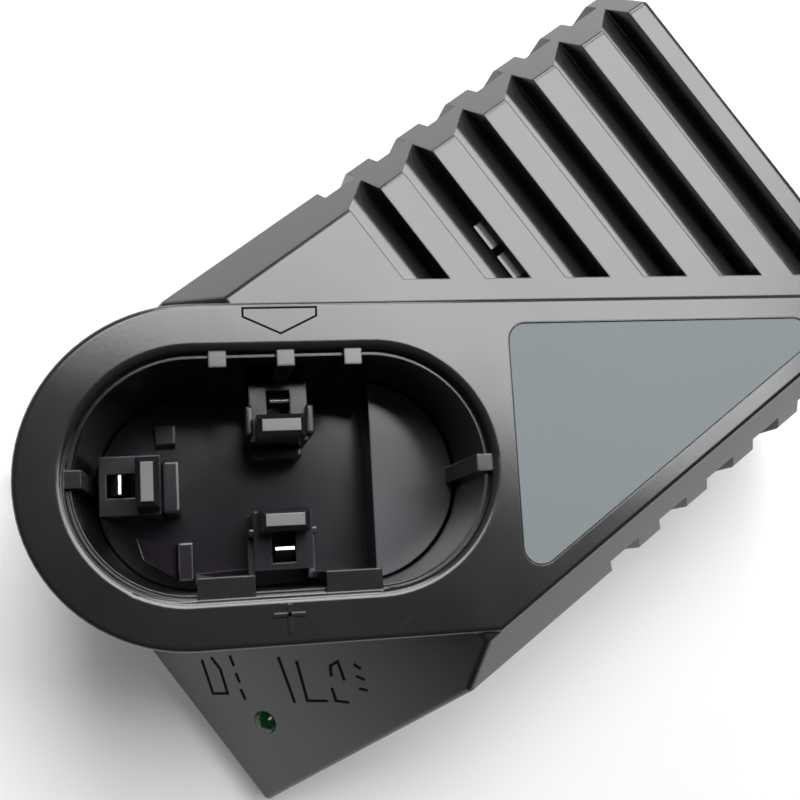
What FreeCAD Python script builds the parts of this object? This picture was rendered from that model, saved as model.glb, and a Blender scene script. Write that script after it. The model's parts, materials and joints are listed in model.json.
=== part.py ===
import FreeCAD, Part
import math
import os
import re

import Sketcher
from FreeCAD import Placement, Rotation, Vector

# Battery charger for a stick-type power tool pack, in millimetres.
# The design frame has its origin under the nose's centre, on the surface the charger stands on.
# X runs along the long axis of the box, Y to its left side and Z up.
# The well's own axis is turned from X by well_angle, towards the right side.
# frame_x and frame_y below move every piece so that the origin lies under the middle of the whole.

doc = FreeCAD.newDocument("charger")
sizes = doc.addObject("Spreadsheet::Sheet", "Sizes")

# Driving dimensions
DIMENSIONS = {
    "total_height": 62.0,
    "plate_rise": 1.0,
    "plate_round": 0.9,
    "nose_radius": 27.0,
    "nose_draft": 2.4,
    "well_angle": 35.05,
    "well_radius": 19.2,
    "well_run": 28.4,
    "well_depth": 37.0,
    "well_draft": 0.5,
    "rim_round": 1.3,
    "ledge_depth": 2.6,
    "ledge_width": 0.7,
    "deck_left": 19.6,
    "deck_right": 49.3,
    "deck_thickness": 7.0,
    "band_left_out": 7.4,
    "band_left_drop": 9.5,
    "band_right_out": 6.0,
    "band_right_drop": 8.0,
    "wall_draft": 1.0,
    "wall_thickness": 2.5,
    "edge_round": 1.2,
    "far_end": 114.2,
    "slope_top": 21.3,
    "slope_angle": 50.2,
    "split_height": 7.0,
    "groove_start": 46.2,
    "groove_width": 6.4,
    "groove_pitch": 11.4,
    "groove_depth": 5.2,
    "groove_lip": 0.3,
    "groove_line": 30.7,
    "groove_limit": 8.0,
    "channel_depth": 2.0,
    "channel_foot": 3.0,
    "vent_width": 0.8,
    "vent_length": 5.0,
    "vent_pitch": 6.6,
    "vent_margin": 1.6,
    "tab_drop": 0.7,
    "tab_reach": 2.2,
    "tab_width": 2.8,
    "wide_tab_reach": 3.3,
    "wide_tab_width": 8.8,
    "tab_middle": 15.0,
    "tab_spread": 10.8,
    "wide_tab_spread": 19.8,
    "label_start": 51.7,
    "label_side": 22.8,
    "label_edge": 45.8,
    "label_depth": 0.5,
    "label_thickness": 0.35,
    "label_round": 3.0,
    "label_gap": 0.15,
    "lens_along": 15.5,
    "lens_across": 42.3,
    "lens_radius": 2.3,
    "lens_flange": 3.2,
    "lens_lip": 1.2,
    "led_radius": 1.5,
    "led_length": 4.0,
    "inlet_radius": 4.5,
    "inlet_height": 22.0,
    "inlet_across": 14.0,
    "boss_radius": 3.6,
    "pilot_radius": 1.35,
    "pilot_depth": 12.0,
    "screw_radius": 1.25,
    "screw_reach": 9.0,
    "screw_clearance": 0.4,
    "head_radius": 2.9,
    "head_height": 2.0,
    "head_sink": 3.0,
    "near_boss_along": 1.0,
    "near_boss_across": 45.5,
    "left_boss_along": 26.5,
    "side_boss_inset": 4.2,
    "far_boss_inset": 4.4,
    "foot_height": 1.5,
    "foot_recess": 0.8,
    "foot_radius": 6.0,
    "foot_near": 12.0,
    "foot_far": 98.0,
    "foot_left": 12.0,
    "foot_right": 34.0,
    "tray_floor": 2.2,
    "tray_inset": 0.3,
    "floor_vent_width": 2.4,
    "floor_vent_length": 30.0,
    "floor_vent_pitch": 6.0,
    "floor_vent_start": 56.0,
    "fit_gap": 0.25,
    "shelf_depth": 25.0,
    "shelf_start": 31.5,
    "carrier_plug": 3.0,
    "carrier_flange": 2.5,
    "flange_radius": 22.6,
    "tower_bore": 22.9,
    "tower_wall": 1.5,
    "post_middle": 14.6,
    "post_width": 10.0,
    "post_base_height": 20.0,
    "hood_width": 8.2,
    "hood_depth": 3.8,
    "hood_height": 27.0,
    "hood_bevel": 0.9,
    "window_width": 4.0,
    "window_depth": 5.0,
    "window_floor": 1.6,
    "lip_thickness": 1.2,
    "rear_post": 6.6,
    "front_post": 5.3,
    "left_post": 5.6,
    "spring_width": 3.2,
    "spring_thickness": 0.5,
    "spring_roll": 0.9,
    "spring_offset": 0.5,
    "spring_height": 20.0,
    "spring_bulge": 1.3,
    "carrier_screw_radius": 1.0,
    "carrier_screw_reach": 5.0,
    "carrier_head_radius": 1.9,
    "carrier_head_height": 1.2,
    "carrier_screw_ring": 20.6,
    "board_near": 50.0,
    "board_far": 102.0,
    "board_left": 15.0,
    "board_right": 46.0,
    "board_thickness": 1.6,
    "standoff_height": 6.0,
    "standoff_radius": 3.0,
    "standoff_inset": 4.0,
    "board_screw_radius": 1.1,
    "board_pilot_depth": 4.5,
    "choke_radius": 8.0,
    "choke_bore": 3.0,
    "choke_height": 5.4,
}

for row, (alias, value) in enumerate(DIMENSIONS.items(), start=1):
    sizes.set("A%d" % row, alias.replace("_", " "))
    sizes.set("B%d" % row, str(value))
    sizes.setAlias("B%d" % row, alias)
doc.recompute()

# Levels and places that follow from the driving dimensions
DECK = "(total_height - plate_rise)"
LEFT_WALL = "(deck_left + band_left_out)"
RIGHT_WALL = "(deck_right + band_right_out)"
LEFT_FOOT = "(%s + (%s - band_left_drop - split_height) * tan(wall_draft * 1 deg))" % (LEFT_WALL, DECK)
RIGHT_FOOT = "(%s + (%s - band_right_drop - split_height) * tan(wall_draft * 1 deg))" % (RIGHT_WALL, DECK)
FAR_FOOT = "(far_end + (%s - split_height) * tan(wall_draft * 1 deg))" % DECK
CAVITY_TOP = "(%s - deck_thickness)" % DECK
CAVITY_LEFT = "(%s - channel_depth - wall_thickness)" % LEFT_WALL
CAVITY_RIGHT = "(%s - channel_depth - wall_thickness)" % RIGHT_WALL
CAVITY_FAR = "(far_end - wall_thickness)"
WELL_FLOOR = "(total_height - well_depth)"
TUBE_END = "(%s - carrier_plug)" % WELL_FLOOR
WELL_INNER = "(well_radius - ledge_width)"
PLUG_RADIUS = "(%s - well_depth * tan(well_draft * 1 deg) - fit_gap)" % WELL_INNER
FLANGE_BOTTOM = "(%s - carrier_flange)" % TUBE_END
FRAME_X = "((nose_radius - %s) / 2)" % FAR_FOOT
FRAME_Y = "((%s - %s) / 2)" % (RIGHT_FOOT, LEFT_FOOT)
FLOOR_TOP = "(foot_height + tray_floor)"
BOARD_BOTTOM = "(%s + standoff_height)" % FLOOR_TOP
BOARD_TOP = "(%s + board_thickness)" % BOARD_BOTTOM
SIN = "sin(well_angle * 1 deg)"
COS = "cos(well_angle * 1 deg)"
Z_AXIS = Vector(0, 0, 1)
GROOVES = 6
VENTS_PER_GROOVE = 2
FLOOR_VENTS = 8


def slope_at(level):
    """X of the near-end slope's outer face at a level."""
    return "(slope_top - (total_height - (%s)) / tan(slope_angle * 1 deg))" % level


def inner_slope_at(level):
    """X of the near-end slope's inner face at a level."""
    return "(%s + wall_thickness / sin(slope_angle * 1 deg))" % slope_at(level)


def sized(text):
    """The spreadsheet expression of a formula written with the sheet's own names."""
    return re.sub(r"\b[a-z]+(?:_[a-z]+)+\b", lambda found: "Sizes." + found.group(0), text)


def number(text):
    """The present value of a formula."""
    result = sizes.evalExpression(sized(text))
    return float(getattr(result, "Value", result))


def bind(obj, prop, text):
    """Ties a property to a formula of the sheet."""
    obj.setExpression(prop, sized(text))


# Sketch helpers

def role_of(body, role):
    """The origin plane or axis of a body with this role."""
    return next(item for item in body.Origin.OriginFeatures if item.Role == role)


def new_body(name):
    """An empty body whose label names its file."""
    body = doc.addObject("PartDesign::Body", name)
    body.Label = name
    return body


def new_sketch(body, name, role="XY_Plane", lift="0", turned=False):
    """A sketch on an origin plane, lifted along its normal and turned with the well if asked."""
    sketch = body.newObject("Sketcher::SketchObject", name)
    sketch.AttachmentSupport = [(role_of(body, role), "")]
    sketch.MapMode = "FlatFace"
    angle = -number("well_angle") if turned else 0
    sketch.AttachmentOffset = Placement(Vector(0, 0, number(lift)), Rotation(Z_AXIS, angle))
    bind(sketch, "AttachmentOffset.Base.z", lift)
    if turned:
        sketch.AttachmentOffset = Placement(Vector(0, 0, number(lift)), Rotation(Vector(0, 0, -1), -angle))
        bind(sketch, "AttachmentOffset.Rotation.Angle", "well_angle")
    return sketch


def pin_point(sketch, shape, end, x, y):
    """Fixes one point of a shape at formulas for its two coordinates."""
    for kind, text, axis in (("DistanceX", x, -2), ("DistanceY", y, -1)):
        value = number(text)
        if abs(value) < 1e-9:
            sketch.addConstraint(Sketcher.Constraint("PointOnObject", shape, end, axis))
        elif value > 0:
            index = sketch.addConstraint(Sketcher.Constraint(kind, -1, 1, shape, end, value))
            bind(sketch, "Constraints[%d]" % index, text)
        else:
            index = sketch.addConstraint(Sketcher.Constraint(kind, shape, end, -1, 1, -value))
            bind(sketch, "Constraints[%d]" % index, "-(%s)" % text)


def add_polygon(sketch, corners):
    """A closed outline through corners given as pairs of formulas."""
    points = [Vector(number(x), number(y), 0) for x, y in corners]
    first = sketch.GeometryCount
    for index, point in enumerate(points):
        following = points[(index + 1) % len(points)]
        sketch.addGeometry(Part.LineSegment(point, following), False)
    for index, (x, y) in enumerate(corners):
        before = first + (index - 1) % len(corners)
        sketch.addConstraint(Sketcher.Constraint("Coincident", before, 2, first + index, 1))
        pin_point(sketch, first + index, 1, x, y)


def add_rectangle(sketch, x_low, x_high, y_low, y_high):
    """A rectangle between four formulas."""
    add_polygon(sketch, [(x_low, y_low), (x_high, y_low), (x_high, y_high), (x_low, y_high)])


def add_radius(sketch, shape, radius):
    """Ties the radius of a circle or arc to a formula."""
    index = sketch.addConstraint(Sketcher.Constraint("Radius", shape, number(radius)))
    bind(sketch, "Constraints[%d]" % index, radius)


def add_circle(sketch, x, y, radius):
    """A circle with its centre and radius given as formulas."""
    centre = Vector(number(x), number(y), 0)
    shape = sketch.addGeometry(Part.Circle(centre, Z_AXIS, number(radius)), False)
    pin_point(sketch, shape, 3, x, y)
    add_radius(sketch, shape, radius)


def add_arc(sketch, centre, radius, start, finish):
    """An arc of a circle, not yet constrained."""
    circle = Part.Circle(centre, Z_AXIS, radius)
    return sketch.addGeometry(Part.ArcOfCircle(circle, start, finish), False)


def add_stadium(sketch, run, radius):
    """Two half circles joined by tangent lines, the first about the sketch's origin."""
    length = number(run)
    size = number(radius)
    quarter = math.pi / 2
    left = add_arc(sketch, Vector(0, 0, 0), size, quarter, 3 * quarter)
    right = add_arc(sketch, Vector(length, 0, 0), size, -quarter, quarter)
    upper = sketch.addGeometry(Part.LineSegment(Vector(length, size, 0), Vector(0, size, 0)), False)
    lower = sketch.addGeometry(Part.LineSegment(Vector(0, -size, 0), Vector(length, -size, 0)), False)
    sketch.addConstraint(Sketcher.Constraint("Coincident", left, 3, -1, 1))
    pin_point(sketch, right, 3, run, "0")
    for one, end, other, far in ((left, 1, upper, 2), (upper, 1, right, 2), (right, 1, lower, 2), (lower, 1, left, 2)):
        sketch.addConstraint(Sketcher.Constraint("Tangent", one, end, other, far))
    add_radius(sketch, left, radius)
    sketch.addConstraint(Sketcher.Constraint("Equal", left, right))


def add_nose_outline(sketch, radius, corners):
    """The nose's half circle about the origin, closed through corners from its lower to its upper end."""
    size = number(radius)
    nose = add_arc(sketch, Vector(0, 0, 0), size, math.pi / 2, 3 * math.pi / 2)
    sketch.addConstraint(Sketcher.Constraint("Coincident", nose, 3, -1, 1))
    sketch.addConstraint(Sketcher.Constraint("PointOnObject", nose, 1, -2))
    sketch.addConstraint(Sketcher.Constraint("PointOnObject", nose, 2, -2))
    add_radius(sketch, nose, radius)
    points = [Vector(0, -size, 0)]
    points += [Vector(number(x), number(y), 0) for x, y in corners]
    points += [Vector(0, size, 0)]
    lines = []
    for start, finish in zip(points, points[1:]):
        lines.append(sketch.addGeometry(Part.LineSegment(start, finish), False))
    sketch.addConstraint(Sketcher.Constraint("Coincident", nose, 2, lines[0], 1))
    for index, (x, y) in enumerate(corners):
        sketch.addConstraint(Sketcher.Constraint("Coincident", lines[index], 2, lines[index + 1], 1))
        pin_point(sketch, lines[index + 1], 1, x, y)
    sketch.addConstraint(Sketcher.Constraint("Coincident", lines[-1], 2, nose, 1))


# Feature helpers

def pad(body, sketch, length, reverse=False, both=False, taper=None):
    """Adds material from a sketch."""
    feature = body.newObject("PartDesign::Pad", sketch.Name + "_pad")
    feature.Profile = sketch
    feature.Reversed = reverse
    if both:
        feature.SideType = "Symmetric"
    bind(feature, "Length", length)
    if taper:
        bind(feature, "TaperAngle", taper)
    doc.recompute()
    return feature


def pocket(body, sketch, length=None, reverse=False, both=False, taper=None):
    """Takes material away from a sketch, all the way through where no length is given."""
    before = body.Shape.Volume
    feature = body.newObject("PartDesign::Pocket", sketch.Name + "_pocket")
    feature.Profile = sketch
    feature.Reversed = reverse
    if both:
        feature.SideType = "Symmetric"
    if length:
        bind(feature, "Length", length)
    else:
        feature.Type = "ThroughAll"
    if taper:
        bind(feature, "TaperAngle", taper)
    doc.recompute()
    if body.Shape.Volume > before - 1e-6:
        raise RuntimeError(feature.Name + " takes nothing away")
    return feature


def line_of(body, feature, count, pitch, role="X_Axis"):
    """Repeats a feature in a straight line."""
    pattern = body.newObject("PartDesign::LinearPattern", feature.Name + "_row")
    pattern.Originals = [feature]
    pattern.Direction = (role_of(body, role), [""])
    pattern.Occurrences = count
    bind(pattern, "Length", "%s * %d" % (pitch, count - 1))
    body.Tip = pattern
    doc.recompute()
    return pattern


def edges_where(feature, wanted):
    """Names of the edges that a test picks out."""
    return ["Edge%d" % (index + 1) for index, edge in enumerate(feature.Shape.Edges) if wanted(edge)]


def round_edges(body, feature, names, radius):
    """Rounds edges of the body's last feature."""
    rounding = body.newObject("PartDesign::Fillet", feature.Name + "_round")
    rounding.Base = (feature, names)
    bind(rounding, "Radius", radius)
    doc.recompute()
    return rounding


def chamfer_edges(body, feature, names, size):
    """Bevels edges of the body's last feature."""
    bevel = body.newObject("PartDesign::Chamfer", feature.Name + "_bevel")
    bevel.Base = (feature, names)
    bind(bevel, "Size", size)
    doc.recompute()
    return bevel


def level_edges(feature, level):
    """Names of the edges that lie flat at a level."""
    def flat(edge):
        return all(abs(vertex.Z - level) < 1e-4 for vertex in edge.Vertexes)
    return edges_where(feature, flat)


def upright_edges(feature, places):
    """Names of the upright edges that stand at given places in plan."""
    def upright(edge):
        if len(edge.Vertexes) < 2:
            return False
        low, high = edge.Vertexes[0].Point, edge.Vertexes[1].Point
        if math.hypot(high.x - low.x, high.y - low.y) > 1e-4:
            return False
        return any(math.hypot(low.x - x, low.y - y) < 0.05 for x, y in places)
    return edges_where(feature, upright)


def plan_point(x, y):
    """A point of the well's own frame in the design frame, as a pair of numbers."""
    angle = math.radians(number("well_angle"))
    along = number(x)
    across = number(y)
    return (
        along * math.cos(angle) + across * math.sin(angle),
        -along * math.sin(angle) + across * math.cos(angle),
    )


PIECES = []


def seat(obj, name, x="0", y="0", z="0"):
    """Names a finished piece and puts it in the row's frame."""
    obj.Label = name
    bind(obj, "Placement.Base.x", "%s + %s" % (FRAME_X, x))
    bind(obj, "Placement.Base.y", "%s + %s" % (FRAME_Y, y))
    bind(obj, "Placement.Base.z", z)
    PIECES.append((name, obj))
    return obj


def turn(obj, angle):
    """Turns a piece about Z by a formula in degrees."""
    obj.Placement = Placement(Vector(0, 0, 0), Rotation(Z_AXIS, 10))
    bind(obj, "Placement.Rotation.Angle", angle)


# Places shared by the two housings

SCREW_PLACES = [
    ("-near_boss_along", "-near_boss_across"),
    ("left_boss_along", "(%s - side_boss_inset)" % CAVITY_LEFT),
    ("(%s - far_boss_inset)" % CAVITY_FAR, "(%s - side_boss_inset)" % CAVITY_LEFT),
    ("(%s - far_boss_inset)" % CAVITY_FAR, "(side_boss_inset - %s)" % CAVITY_RIGHT),
]
STANDOFF_PLACES = [
    (along, across)
    for along in ("(board_near + standoff_inset)", "(board_far - standoff_inset)")
    for across in ("(board_left - standoff_inset)", "(standoff_inset - board_right)")
]
FOOT_PLACES = [(along, across) for along in ("-foot_near", "foot_far") for across in ("foot_left", "-foot_right")]
CARRIER_SCREWS = [
    ("(%s * carrier_screw_ring * cos(45 deg) + %d * well_run)" % (side, far), "(%s * carrier_screw_ring * sin(45 deg))" % up)
    for side, far in (("-1", 0), ("1", 1))
    for up in ("-1", "1")
]


def block_section():
    """Corners of the box's cross-section, from its right foot over the deck to its left foot."""
    return [
        ("-" + RIGHT_FOOT, "split_height"),
        ("-" + RIGHT_WALL, "(%s - band_right_drop)" % DECK),
        ("-deck_right", DECK),
        ("deck_left", DECK),
        (LEFT_WALL, "(%s - band_left_drop)" % DECK),
        (LEFT_FOOT, "split_height"),
    ]


def plate_corners():
    """The raised plate's corners in the well's frame, after the nose's lower end."""
    diagonal = "((deck_right - nose_radius * %s) / %s)" % (COS, SIN)
    far_low = ("(far_end * %s + deck_right * %s)" % (COS, SIN), "(far_end * %s - deck_right * %s)" % (SIN, COS))
    far_high = ("((far_end - nose_radius * %s) / %s)" % (SIN, COS), "nose_radius")
    return [(diagonal, "-nose_radius"), far_low, far_high]


def label_corners(gap):
    """The label's three corners in the well's frame, drawn in by a gap."""
    side = "(label_side - %s)" % gap
    start = "(label_start + %s)" % gap
    edge = "(label_edge - %s)" % gap
    low = "((%s * %s - %s) / %s)" % (start, SIN, edge, COS)
    tip = "((%s + %s * %s) / %s)" % (edge, side, COS, SIN)
    return [(start, side), (start, low), (tip, side)]


def make_block(body):
    """The box's outer form: sloped near end, banded sides and drafted walls."""
    section = new_sketch(body, "section", "YZ_Plane", "-nose_radius")
    add_polygon(section, block_section())
    block = pad(body, section, "nose_radius + %s" % FAR_FOOT)
    ends = new_sketch(body, "ends", "XZ_Plane")
    below = "(split_height - 1)"
    above = "(%s + 1)" % DECK
    out = "(-nose_radius - 1)"
    add_polygon(ends, [(slope_at(below), below), (slope_at(above), above), (out, above), (out, below)])
    draft = "tan(wall_draft * 1 deg)"
    beyond = "(%s + 1)" % FAR_FOOT
    far_low = "(far_end + (%s - %s) * %s)" % (DECK, below, draft)
    far_high = "(far_end + (%s - %s) * %s)" % (DECK, above, draft)
    add_polygon(ends, [(far_low, below), (far_high, above), (beyond, above), (beyond, below)])
    block = pocket(body, ends, both=True)
    base = number("split_height")
    deck = number(DECK)
    right = -number("deck_right")

    def rounded(edge):
        points = [vertex.Point for vertex in edge.Vertexes]
        at_base = all(abs(point.z - base) < 1e-4 for point in points)
        at_plate = all(abs(point.z - deck) < 1e-4 and abs(point.y - right) < 1e-4 for point in points)
        return not at_base and not at_plate

    round_edges(body, block, edges_where(block, rounded), "edge_round")


def make_cavity(body):
    """The room inside for the board, behind walls that follow the outer form."""
    middle = "((%s - %s) / 2)" % (CAVITY_RIGHT, CAVITY_LEFT)
    cavity = new_sketch(body, "cavity", "XZ_Plane", middle)
    below = "(split_height - 1)"
    add_polygon(cavity, [
        (inner_slope_at(below), below),
        (inner_slope_at(CAVITY_TOP), CAVITY_TOP),
        (CAVITY_FAR, CAVITY_TOP),
        (CAVITY_FAR, below),
    ])
    pocket(body, cavity, "%s + %s" % (CAVITY_LEFT, CAVITY_RIGHT), both=True)


def make_grooves(body):
    """Saw-tooth cooling grooves across the deck, and the channels they run into on both sides."""
    groove_end = "(groove_start + groove_width)"
    groove = new_sketch(body, "groove", "XZ_Plane", "(deck_right - groove_limit)")
    add_polygon(groove, [
        ("groove_start", "(%s - groove_lip)" % DECK),
        (groove_end, "(%s - groove_depth)" % DECK),
        (groove_end, "(%s + 1)" % DECK),
        ("groove_start", "(%s + 1)" % DECK),
    ])
    line_of(body, pocket(body, groove), GROOVES, "groove_pitch")
    channel = new_sketch(body, "channel", "XY_Plane", "(split_height + channel_foot)")
    add_rectangle(channel, "groove_start", groove_end, "(%s - channel_depth)" % LEFT_WALL, "(%s + 1)" % LEFT_FOOT)
    add_rectangle(channel, "groove_start", groove_end, "-(%s + 1)" % RIGHT_FOOT, "-(%s - channel_depth)" % RIGHT_WALL)
    line_of(body, pocket(body, channel, reverse=True), GROOVES, "groove_pitch")


def groove_foot(along):
    """Y at which the grooves end, on a line beside the plate, for an X."""
    return "((groove_line - %s * %s) / %s)" % (along, SIN, COS)


def make_plate(body):
    """The deck beside the grooves, the raised plate and the nose that overhangs the slope."""
    near = "(groove_start - 2)"
    far = "(far_end - 2 * edge_round)"
    side = "(groove_limit / 2 - deck_right)"
    fill = new_sketch(body, "deck_fill", "XY_Plane", DECK)
    add_polygon(fill, [(near, side), (far, side), (far, groove_foot(far)), (near, groove_foot(near))])
    pad(body, fill, "groove_depth + 1", reverse=True)
    plate = new_sketch(body, "plate", "XY_Plane", "total_height", turned=True)
    add_nose_outline(plate, "nose_radius", plate_corners())
    pad(body, plate, "2 * plate_rise", reverse=True)
    nose = new_sketch(body, "nose", "XY_Plane", "(total_height - 2 * plate_rise)", turned=True)
    corners = [plate_corners()[0], ("well_run", "nose_radius")]
    add_nose_outline(nose, "nose_radius", corners)
    pad(body, nose, "total_height - 2 * plate_rise - split_height", reverse=True, taper="-nose_draft")
    tower = new_sketch(body, "tower", "XY_Plane", "split_height", turned=True)
    add_stadium(tower, "well_run", "tower_bore + tower_wall")
    pad(body, tower, "%s - split_height" % DECK)
    top = body.Tip
    round_edges(body, top, level_edges(top, number("total_height")), "plate_round")


def make_well(body):
    """The well with its stepped rim, and the room under it for the contact carrier."""
    rim = new_sketch(body, "rim", "XY_Plane", "total_height", turned=True)
    add_stadium(rim, "well_run", "well_radius")
    cut = pocket(body, rim, "ledge_depth")
    top = number("total_height")
    reach = number("well_radius") + number("well_run") + 1
    centre = plan_point("well_run / 2", "0")

    def at_rim(edge):
        flat = all(abs(vertex.Z - top) < 1e-4 for vertex in edge.Vertexes)
        middle = edge.CenterOfMass
        near = math.hypot(middle.x - centre[0], middle.y - centre[1]) < reach / 2 + 10
        inside = all(
            math.hypot(vertex.X - centre[0], vertex.Y - centre[1]) < reach / 2 + 8 for vertex in edge.Vertexes
        )
        return flat and near and inside and edge.Length < 2 * reach

    rims = edges_where(cut, at_rim)
    round_edges(body, cut, rims, "rim_round")
    bore = new_sketch(body, "well_bore", "XY_Plane", "(total_height - ledge_depth)", turned=True)
    add_stadium(bore, "well_run", WELL_INNER)
    pocket(body, bore, "well_depth + carrier_plug - ledge_depth + 0.01", taper="-well_draft")
    tower = new_sketch(body, "tower_bore", "XY_Plane", "split_height", turned=True)
    add_stadium(tower, "well_run", "tower_bore")
    pocket(body, tower, "%s - split_height" % TUBE_END, reverse=True)


def make_tabs(body):
    """Guide tabs down the well's wall, narrow ones on three sides and two wide ones in front."""
    tab_top = "(total_height - tab_drop)"
    tall = new_sketch(body, "tall_tabs", "XY_Plane", tab_top, turned=True)
    root = "(well_radius + 1)"
    edge = "(%s - tab_reach + 0.4)" % WELL_INNER
    for step in (-1, 0, 1):
        low = "(tab_middle + %d * tab_spread - tab_width / 2)" % step
        high = "(tab_middle + %d * tab_spread + tab_width / 2)" % step
        add_rectangle(tall, low, high, edge, root)
    add_rectangle(tall, "-" + root, "-" + edge, "-tab_width / 2", "tab_width / 2")
    wide_edge = "(wide_tab_reach - well_radius)"
    for step in (-1, 1):
        low = "(tab_middle + %d * wide_tab_spread / 2 - wide_tab_width / 2 - 0.6)" % step
        high = "(tab_middle + %d * wide_tab_spread / 2 + wide_tab_width / 2 - 0.6)" % step
        add_rectangle(tall, low, high, "-" + root, wide_edge)
    pad(body, tall, "well_depth - tab_drop - fit_gap", reverse=True)
    short = new_sketch(body, "short_tab", "XY_Plane", tab_top, turned=True)
    add_rectangle(short, "(well_run + %s)" % edge, "(well_run + %s)" % root, "-tab_width / 2", "tab_width / 2")
    pad(body, short, "shelf_depth - tab_drop - fit_gap", reverse=True)


def make_openings(body):
    """The label's recess, the vents, the indicator's hole and the cord's inlet."""
    recess = new_sketch(body, "label_recess", "XY_Plane", "total_height", turned=True)
    add_polygon(recess, label_corners("0"))
    cut = pocket(body, recess, "label_depth")
    places = [plan_point(x, y) for x, y in label_corners("0")]
    round_edges(body, cut, upright_edges(cut, places), "label_round")
    vents = new_sketch(body, "vents", "XY_Plane", "(%s - groove_depth + 0.5)" % DECK)
    for groove in range(GROOVES):
        high = "(groove_start + groove_width + %d * groove_pitch)" % groove
        low = "(%s - vent_width)" % high
        for slot in range(VENTS_PER_GROOVE):
            start = "(%s + vent_margin + %d * vent_pitch)" % (groove_foot(high), slot)
            add_rectangle(vents, low, high, start, "(%s + vent_length)" % start)
    pocket(body, vents, "deck_thickness - groove_depth + 1")
    make_lens_hole(body)
    inlet = new_sketch(body, "cord_inlet", "YZ_Plane", "(%s + 1)" % FAR_FOOT)
    add_circle(inlet, "-inlet_across", "inlet_height", "inlet_radius")
    pocket(body, inlet, "%s + 2 - %s" % (FAR_FOOT, CAVITY_FAR))


def lens_level():
    """Height of the slope's outer face at the indicator."""
    return "(total_height - (slope_top + lens_along) * tan(slope_angle * 1 deg))"


def make_lens_hole(body):
    """A round hole square to the slope for the indicator's lens."""
    hole = new_sketch(body, "lens_hole")
    middle = Vector(-number("lens_along"), -number("lens_across"), number(lens_level()))
    hole.AttachmentOffset = Placement(middle, Rotation(Vector(0, -1, 0), number("slope_angle")))
    bind(hole, "AttachmentOffset.Base.x", "-lens_along")
    bind(hole, "AttachmentOffset.Base.y", "-lens_across")
    bind(hole, "AttachmentOffset.Base.z", lens_level())
    bind(hole, "AttachmentOffset.Rotation.Angle", "slope_angle")
    add_circle(hole, "0", "0", "lens_radius + 0.05")
    pocket(body, hole, "wall_thickness + 1")


def pad_to_slope(body, sketch):
    """Adds material from a sketch up to the slope's inner face."""
    angle = math.radians(number("slope_angle"))
    inwards = Vector(math.sin(angle), 0, -math.cos(angle))
    roof = body.Tip
    found = []
    for index, face in enumerate(roof.Shape.Faces):
        normal = face.normalAt(0, 0)
        if normal.getAngle(inwards) < 1e-4:
            found.append((face.Area, "Face%d" % (index + 1)))
    feature = body.newObject("PartDesign::Pad", sketch.Name + "_pad")
    feature.Profile = sketch
    feature.Type = "UpToFace"
    feature.UpToFace = (roof, [max(found)[1]])
    doc.recompute()


def make_bosses(body):
    """Screw bosses that hang from the roof and the slope, with blind pilot holes."""
    near = new_sketch(body, "near_boss", "XY_Plane", "split_height")
    add_circle(near, SCREW_PLACES[0][0], SCREW_PLACES[0][1], "boss_radius")
    pad_to_slope(body, near)
    tall = new_sketch(body, "tall_bosses", "XY_Plane", "split_height")
    for x, y in SCREW_PLACES[1:]:
        add_circle(tall, x, y, "boss_radius")
    pad(body, tall, "%s - split_height + 1" % CAVITY_TOP)
    pilots = new_sketch(body, "pilots", "XY_Plane", "split_height")
    for x, y in SCREW_PLACES:
        add_circle(pilots, x, y, "pilot_radius")
    pocket(body, pilots, "pilot_depth", reverse=True)
    carrier_pilots = new_sketch(body, "carrier_pilots", "XY_Plane", TUBE_END, turned=True)
    for x, y in CARRIER_SCREWS:
        add_circle(carrier_pilots, x, y, "carrier_screw_radius + 0.05")
    pocket(body, carrier_pilots, "carrier_screw_reach + 1", reverse=True)


def upper_housing():
    """The top moulding: deck, plate, well, grooved roof and sloped near end."""
    body = new_body("upper_housing")
    make_block(body)
    make_cavity(body)
    make_grooves(body)
    make_plate(body)
    make_well(body)
    make_tabs(body)
    make_openings(body)
    make_bosses(body)
    seat(body, "upper_housing")


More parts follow.
